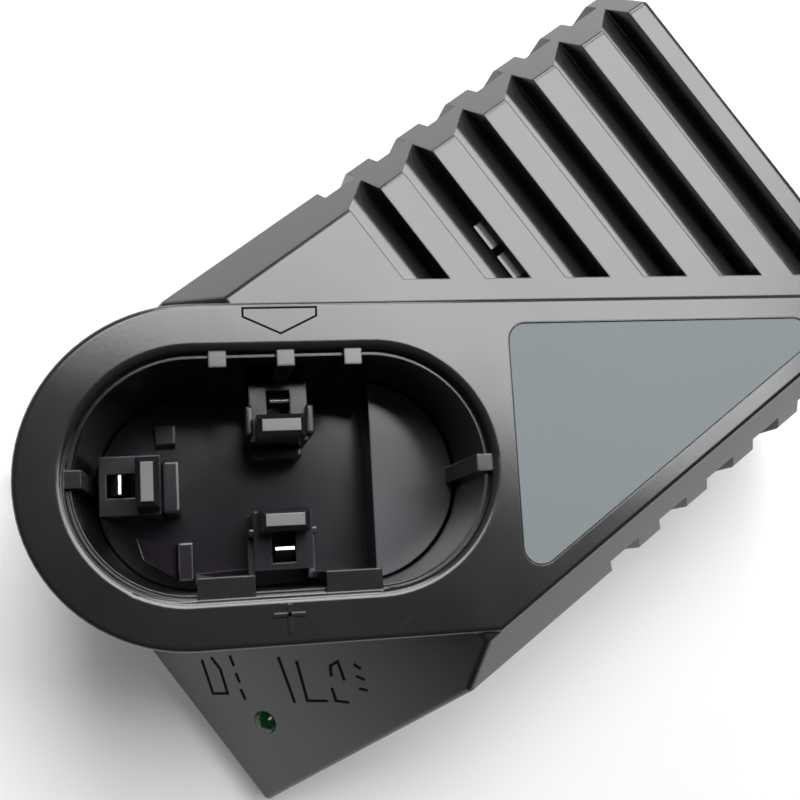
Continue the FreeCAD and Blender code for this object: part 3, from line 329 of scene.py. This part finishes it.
CHARCOAL = (0.018, 0.017, 0.018)
CHARCOAL_WORN = (0.036, 0.036, 0.037)
WELL_BLACK = (0.020, 0.016, 0.022)
WELL_WORN = (0.055, 0.050, 0.060)
# The grooves' ramps roll over into the deck: from one height to another in metres, and by how much
DECK_HEIGHT = (PLATE_TOP - PLATE_RISE) * MM
GROOVE_ROLL = (DECK_HEIGHT - 0.0050, DECK_HEIGHT - 0.0010, 0.88)
# Up-facing faces of the well painted paler as if lit, a painted highlight: from one height to another in
# metres, and their colour
PAINTED_LIT_SHELF = (0.0364, 0.0384, (0.105, 0.100, 0.112))
PAINTED_LIT_HOOD_TOPS = (0.0505, 0.0540, (0.200, 0.205, 0.200))
# How strongly the white sheet under the vents glows: a painted glint, since the sheet is no lamp
SHEET_GLOW = 2.5

MATERIALS = {
    "housing_top": plastic(
        "top_plastic", CHARCOAL, CHARCOAL_WORN, rough=0.17, shine=0.68, rolled=GROOVE_ROLL),
    "housing_base": plastic("base_plastic", (0.028, 0.028, 0.03), CHARCOAL_WORN, rough=0.45),
    # The well's shelf and hood tops are painted paler as if lit: a painted highlight.
    "carrier_plastic": plastic(
        "carrier_plastic", WELL_BLACK, WELL_WORN, rough=0.18, grain=900.0, shine=0.6,
        painted_lit_faces=(PAINTED_LIT_SHELF, PAINTED_LIT_HOOD_TOPS)),
    "contact_metal": metal("contact_metal", (0.86, 0.85, 0.82), rough=0.22),
    "label_face": film("label_film", (0.20, 0.229, 0.241)),
    "lens_green": clear_plastic("lens_green", (0.006, 0.09, 0.025)),
    "led_body": clear_plastic("led_green", (0.05, 0.35, 0.1)),
    "foot_rubber": plastic(
        "foot_rubber", (0.016, 0.016, 0.016), (0.05, 0.05, 0.05), rough=0.8, grain=700.0),
    "screw_steel": metal("screw_steel", (0.55, 0.55, 0.56), rough=0.3),
    "board_laminate": plastic("board_laminate", (0.03, 0.16, 0.06), (0.2, 0.3, 0.15), rough=0.35),
    "ferrite": plastic("ferrite", (0.06, 0.06, 0.065), (0.12, 0.12, 0.12), rough=0.6, grain=600.0),
    "bobbin_plastic": plastic("bobbin_plastic", (0.05, 0.05, 0.05), (0.1, 0.1, 0.1), rough=0.4),
    "copper_winding": metal(
        "copper_winding", (0.6, 0.3, 0.1), rough=0.3, grain=1600.0, stretch=(0.1, 1.0, 0.1)),
    "capacitor_sleeve": plastic("capacitor_sleeve", (0.02, 0.03, 0.12), (0.1, 0.1, 0.2), rough=0.25),
    "film_case": plastic("film_case", (0.5, 0.4, 0.06), (0.6, 0.5, 0.2), rough=0.4),
    "heat_sink_aluminium": metal("heat_sink_aluminium", (0.7, 0.7, 0.71), rough=0.4),
    "package_epoxy": plastic("package_epoxy", (0.02, 0.02, 0.02), (0.06, 0.06, 0.06), rough=0.5),
    "fuse_glass": clear_plastic("fuse_glass", (0.8, 0.85, 0.85)),
    # The white sheet glows though it is no lamp: a painted glint seen through the vents.
    "insulation_white": plastic(
        "insulation_white", (0.82, 0.82, 0.78), (0.9, 0.9, 0.88), rough=0.6, glow=SHEET_GLOW),
    # Near-black lines lying almost flush with the surface: painted shade standing in for the shadow in the
    # moulded signs' sunk lines.
    "painted_sign_shade": plastic("painted_sign_shade", (0.004, 0.004, 0.004), (0.01, 0.01, 0.01), rough=0.7, shine=0.1),
}


def dress_frame():
    """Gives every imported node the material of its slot."""
    for row in frame["record"]["subparts"]:
        node = frame["nodes"][row["node"]]
        node.data.materials.clear()
        node.data.materials.append(MATERIALS[row["material_slot"]])


# Pieces that the moulding carries

def add_piece(name, mesh, slot, material=None):
    """Adds a mesh that rides on the housing."""
    piece = bpy.data.objects.new(name, mesh)
    bpy.context.scene.collection.objects.link(piece)
    mesh.materials.append(material or MATERIALS[slot])
    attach(piece, "housing")
    return piece


def prism(low, high, bevel):
    """A closed solid between two rings of points with the same count, all but its lower edges bevelled."""
    form = bmesh.new()
    lower = [form.verts.new(point) for point in low]
    upper = [form.verts.new(point) for point in high]
    count = len(low)
    form.faces.new(list(reversed(lower)))
    top = form.faces.new(upper)
    for index in range(count):
        following = (index + 1) % count
        form.faces.new((lower[index], lower[following], upper[following], upper[index]))
    bmesh.ops.recalc_face_normals(form, faces=form.faces)
    rim = list(top.edges)
    uprights = [edge for edge in form.edges if (edge.verts[0] in lower) != (edge.verts[1] in lower)]
    bmesh.ops.bevel(form, geom=rim + uprights, offset=bevel, segments=2, affect="EDGES", profile=0.6)
    return form


def finish_form(name, form, slot, material=None):
    """Turns a bmesh into a named piece."""
    mesh = bpy.data.meshes.new(name)
    form.to_mesh(mesh)
    form.free()
    return add_piece(name, mesh, slot, material)


def ribbon(name, path, width, height, place, lift, closed=False, material=None):
    """A low line with sloping sides, along a path of plane points laid on a surface."""
    half = width / 2
    top_share = 0.55
    sharpest_turn = 0.35
    points = [Vector(point) for point in path]
    count = len(points)
    rings = []
    for index, point in enumerate(points):
        before = points[index - 1] if closed or index else None
        after = points[(index + 1) % count] if closed or index < count - 1 else None
        inward = (point - before).normalized() if before is not None else (after - point).normalized()
        outward = (after - point).normalized() if after is not None else inward
        side_in = Vector((-inward.y, inward.x))
        side_out = Vector((-outward.y, outward.x))
        across = (side_in + side_out).normalized()
        stretch = 1.0 / max(sharpest_turn, across.dot(side_in))
        offset = across * half * stretch
        rings.append([
            place(*(point - offset), lift),
            place(*(point - offset * top_share), lift + height),
            place(*(point + offset * top_share), lift + height),
            place(*(point + offset), lift),
        ])
    form = bmesh.new()
    verts = [[form.verts.new(corner) for corner in ring] for ring in rings]
    spans = count if closed else count - 1
    for index in range(spans):
        one = verts[index]
        two = verts[(index + 1) % count]
        for side in range(4):
            near = (side + 1) % 4
            form.faces.new((one[side], one[near], two[near], two[side]))
    if not closed:
        form.faces.new(list(reversed(verts[0])))
        form.faces.new(verts[-1])
    bmesh.ops.recalc_face_normals(form, faces=form.faces)
    return finish_form(name, form, "housing_top", material)


def on_slope(s, t, z):
    """A point on the slope's face by its place along and across the box, lifted square to the face."""
    surface = along_box(s, t, SLOPE_RISE * (s - SLOPE_TOP))
    outward = Vector((-math.sin(SLOPE_ANGLE), 0.0, math.cos(SLOPE_ANGLE)))
    return surface + outward * z * MM


def make_plate_marks():
    """The moulded arrow over the well's upper rim, drawn as a near-black line of painted shade, and the
    plus sign under its lower rim.
    """
    arrow_left, arrow_tip, arrow_right = 8.4, 14.3, 20.1
    arrow_top, arrow_shoulder, arrow_point = 26.0, 24.6, 21.8
    arrow = [
        (arrow_left, arrow_top),
        (arrow_left, arrow_shoulder),
        (arrow_tip, arrow_point),
        (arrow_right, arrow_shoulder),
        (arrow_right, arrow_top),
    ]
    line_width, line_height, line_lift = 0.5, 0.06, -0.04
    painted_shade_lines = MATERIALS["painted_sign_shade"]
    ribbon("arrow_mark", arrow, line_width, line_height, well, line_lift, closed=True, material=painted_shade_lines)
    plus_x, plus_y = 13.9, -22.2
    arm, stem_down, stem_up = 2.5, 2.8, 1.7
    bar_width, bar_height, bar_lift = 1.05, 0.30, -0.12
    across = [(plus_x - arm, plus_y), (plus_x + arm, plus_y)]
    ribbon("plus_bar", across, bar_width, bar_height, well, bar_lift)
    upright = [(plus_x, plus_y - stem_down), (plus_x, plus_y + stem_up)]
    ribbon("plus_stem", upright, bar_width, bar_height, well, bar_lift)


# The slope's pictograms, as strokes placed along and across the box
SLOPE_LINES = {
    "pack_sign": [(-17.9, -25.8), (-20.2, -32.4), (-17.9, -33.9), (-16.2, -29.3), (-16.2, -26.4)],
    "pack_dash_1": [(-13.2, -28.1), (-13.8, -30.2)],
    "pack_dash_2": [(-14.3, -31.5), (-14.8, -33.4)],
    "pack_dash_3": [(-15.4, -34.5), (-15.9, -36.7)],
    "level_bar": [(-6.4, -33.2), (-9.0, -42.0)],
    "full_sign": [(-4.3, -35.6), (-7.0, -42.8), (-4.2, -44.7)],
    "cell_top": [(-1.2, -41.2), (-0.3, -39.5), (1.1, -39.5), (0.1, -43.0)],
    "cell_foot": [(-2.3, -43.0), (-3.1, -45.4), (-1.5, -46.8)],
    "cell_dot_1": [(2.9, -41.3), (3.3, -42.7)],
    "cell_dot_2": [(2.0, -43.3), (2.8, -44.7)],
    "cell_dot_3": [(1.2, -45.5), (2.1, -46.6)],
}


def make_slope_signs():
    """Plain charge pictograms on the slope: a pack with its level, then a full pack and a cell, drawn as
    near-black lines of painted shade.
    """
    line_width, line_height, line_lift = 0.70, 0.05, -0.03
    painted_shade_lines = MATERIALS["painted_sign_shade"]
    for name, path in SLOPE_LINES.items():
        ribbon(name, path, line_width, line_height, on_slope, line_lift, material=painted_shade_lines)


def block(name, outline, height, bevel):
    """A bevelled block from under the well's floor to a height under the plate, over an outline."""
    wedge(name, outline, [height] * len(outline), bevel)


def wedge(name, outline, heights, bevel):
    """Like a block, with a height of its own for each corner."""
    bottom = [well(x, y, UNDER_FLOOR) for x, y in outline]
    top = [well(x, y, height) for (x, y), height in zip(outline, heights)]
    finish_form(name, prism(bottom, top, bevel * MM), "carrier_plastic")


def span(x_low, x_high, y_low, y_high):
    """A rectangle's corners."""
    return [(x_low, y_low), (x_high, y_low), (x_high, y_high), (x_low, y_high)]


def dress_posts():
    """Thin ears and fins that guide the pack's stem beside the rear and front posts."""
    ear_inner, ear_outer = 4.5, 5.9
    for name, side in (("left", -1), ("right", 1)):
        low, high = sorted((POST_MIDDLE + side * ear_inner, POST_MIDDLE + side * ear_outer))
        block("rear_ear_" + name, span(low, high, 7.4, 12.6), HOOD_TOP - 5.0, 0.45)
        block("front_ear_" + name, span(low, high, -9.6, -8.2), HOOD_TOP - 8.0, 0.3)
        block("front_fin_" + name, span(low, high, -17.0, -9.7), HOOD_TOP - 14.0, 0.3)


def dress_well():
    """Small moulded forms inside the well that guide the pack's stem and stiffen the posts."""
    block("floor_pad", span(-7.2, -3.4, 8.6, 12.4), FLOOR + 3.0, 0.25)
    corner = [(-10.4, -8.4), (-3.4, -9.4), (-3.4, -16.2), (-9.0, -12.6)]
    wedge("corner_gusset", corner, [FLOOR + 13.0, FLOOR + 8.0, FLOOR + 8.0, FLOOR + 14.0], 0.4)
    block("corner_rib", span(-3.3, -0.6, -16.4, -9.6), FLOOR + 10.5, 0.35)
    front = [(-0.5, -15.2), (8.6, -14.8), (8.6, -17.2), (-0.5, -17.2)]
    wedge("front_gusset", front, [FLOOR + 3.0, FLOOR + 3.0, FLOOR + 6.0, FLOOR + 9.0], 0.3)
    dress_posts()
    step_half_width = 4.6
    step = span(POST_MIDDLE - step_half_width, POST_MIDDLE + step_half_width, 4.6, 6.5)
    block("rear_step", step, FLOOR + 10.6, 0.5)
    block("left_rib", span(-5.5, -2.6, -4.6, 4.6), FLOOR + 14.0, 0.5)


# The stage, the lamps and the camera

def make_stage():
    """A pale floor that shows white to the camera and keeps the charger's shadow."""
    half = 1.6
    glow = 0.14
    pale, paler = (0.90, 0.90, 0.895), (0.93, 0.93, 0.925)
    mesh = bpy.data.meshes.new("floor")
    corners = [(-half, -half, 0.0), (half, -half, 0.0), (half, half, 0.0), (-half, half, 0.0)]
    mesh.from_pydata(corners, [], [(0, 1, 2, 3)])
    floor = bpy.data.objects.new("floor", mesh)
    bpy.context.scene.collection.objects.link(floor)
    nodes = Nodes("pale_floor")
    fibres = nodes.noise(scale=30.0, detail=3.0)
    nodes.link(nodes.mix(fibres, pale, paler), nodes.shader.inputs["Base Color"])
    nodes.set(Roughness=0.9, Specular_IOR_Level=0.1, Emission_Color=WHITE)
    rays = nodes.tree.nodes.new("ShaderNodeLightPath")
    seen = nodes.combine(rays.outputs["Is Camera Ray"], rays.outputs["Is Glossy Ray"], "ADD")
    seen = nodes.combine(seen, rays.outputs["Is Transmission Ray"], "ADD")
    nodes.link(nodes.combine(seen, glow), nodes.shader.inputs["Emission Strength"])
    mesh.materials.append(nodes.material)


def add_area(name, place, aim, width, height, power):
    """A rectangular studio lamp turned towards a point."""
    data = bpy.data.lights.new(name, "AREA")
    data.shape = "RECTANGLE"
    data.size = width
    data.size_y = height
    data.energy = power
    lamp = bpy.data.objects.new(name, data)
    bpy.context.scene.collection.objects.link(lamp)
    lamp.location = place
    back = (place - aim).normalized()
    side = Vector(UPRIGHT).cross(back)
    hangs_straight = side.length < 0.01
    if hangs_straight:
        side = Vector((KEY_SIDE.y, -KEY_SIDE.x, 0.0))
    side.normalize()
    lamp.rotation_euler = Matrix((side, back.cross(side), back)).transposed().to_euler()


def light_world():
    """A room that is pale behind the far side and dark overhead and in front; the camera sees it white."""
    darkest, palest = 0.03, 0.35
    turned_away, turned_to = -0.25, 0.8
    under_level = -0.35
    world = bpy.data.worlds.new("studio")
    bpy.context.scene.world = world
    world.use_nodes = True
    tree = world.node_tree
    background = tree.nodes["Background"]
    background.inputs["Color"].default_value = WHITE
    direction = tree.nodes.new("ShaderNodeTexCoord").outputs["Generated"]
    towards = tree.nodes.new("ShaderNodeVectorMath")
    towards.operation = "DOT_PRODUCT"
    towards.inputs[1].default_value = (FAR_SIDE.x, FAR_SIDE.y, under_level)
    tree.links.new(direction, towards.inputs[0])
    fall = tree.nodes.new("ShaderNodeMapRange")
    fall.inputs["From Min"].default_value = turned_away
    fall.inputs["From Max"].default_value = turned_to
    fall.inputs["To Min"].default_value = darkest
    fall.inputs["To Max"].default_value = palest
    tree.links.new(towards.outputs["Value"], fall.inputs["Value"])
    rays = tree.nodes.new("ShaderNodeLightPath")
    mix = tree.nodes.new("ShaderNodeMix")
    mix.data_type = "FLOAT"
    lighting, seen = MIX_NUMBERS
    mix.inputs[seen].default_value = 1.0
    tree.links.new(rays.outputs["Is Camera Ray"], mix.inputs["Factor"])
    tree.links.new(fall.outputs["Result"], mix.inputs[lighting])
    tree.links.new(mix.outputs[MIX_NUMBER_OUT], background.inputs["Strength"])


def light_scene():
    """A large soft lamp over the far side, and a low strip behind it that picks out the well's rim."""
    plate_middle = Vector((-0.03, 0.01, 0.06))
    near_edge, left_edge = 0.157, -0.28
    key_depth, key_width, key_height, key_power = 0.60, 0.80, 0.80, 12.0
    across = Vector((KEY_SIDE.y, -KEY_SIDE.x, 0.0))
    key_away = near_edge + key_depth / 2
    key_aside = left_edge + key_width / 2
    under_key = plate_middle + KEY_SIDE * key_away + across * key_aside
    key = under_key + Vector((0.0, 0.0, key_height))
    add_area("key_lamp", key, under_key, key_width, key_depth, key_power)
    strip_away, strip_height = 0.80, 0.42
    strip_width, strip_depth, strip_power = 0.4, 0.25, 3.0
    strip = plate_middle + FAR_SIDE * strip_away + Vector((0.0, 0.0, strip_height))
    add_area("strip_lamp", strip, plate_middle, strip_width, strip_depth, strip_power)
    light_world()


def place_camera():
    """The photograph's viewpoint."""
    data = bpy.data.cameras.new("camera")
    data.lens = LENS
    data.sensor_width = SENSOR
    data.sensor_fit = "HORIZONTAL"
    data.clip_start = 0.01
    camera = bpy.data.objects.new("camera", data)
    bpy.context.scene.collection.objects.link(camera)
    axes = Matrix((CAMERA_RIGHT, CAMERA_UP, CAMERA_BACK)).transposed()
    camera.matrix_world = Matrix.Translation(CAMERA_PLACE) @ axes.to_4x4()
    bpy.context.scene.camera = camera


dress_frame()
make_plate_marks()
make_slope_signs()
dress_well()
make_stage()
light_scene()
place_camera()
bpy.context.scene.view_settings.view_transform = "Standard"
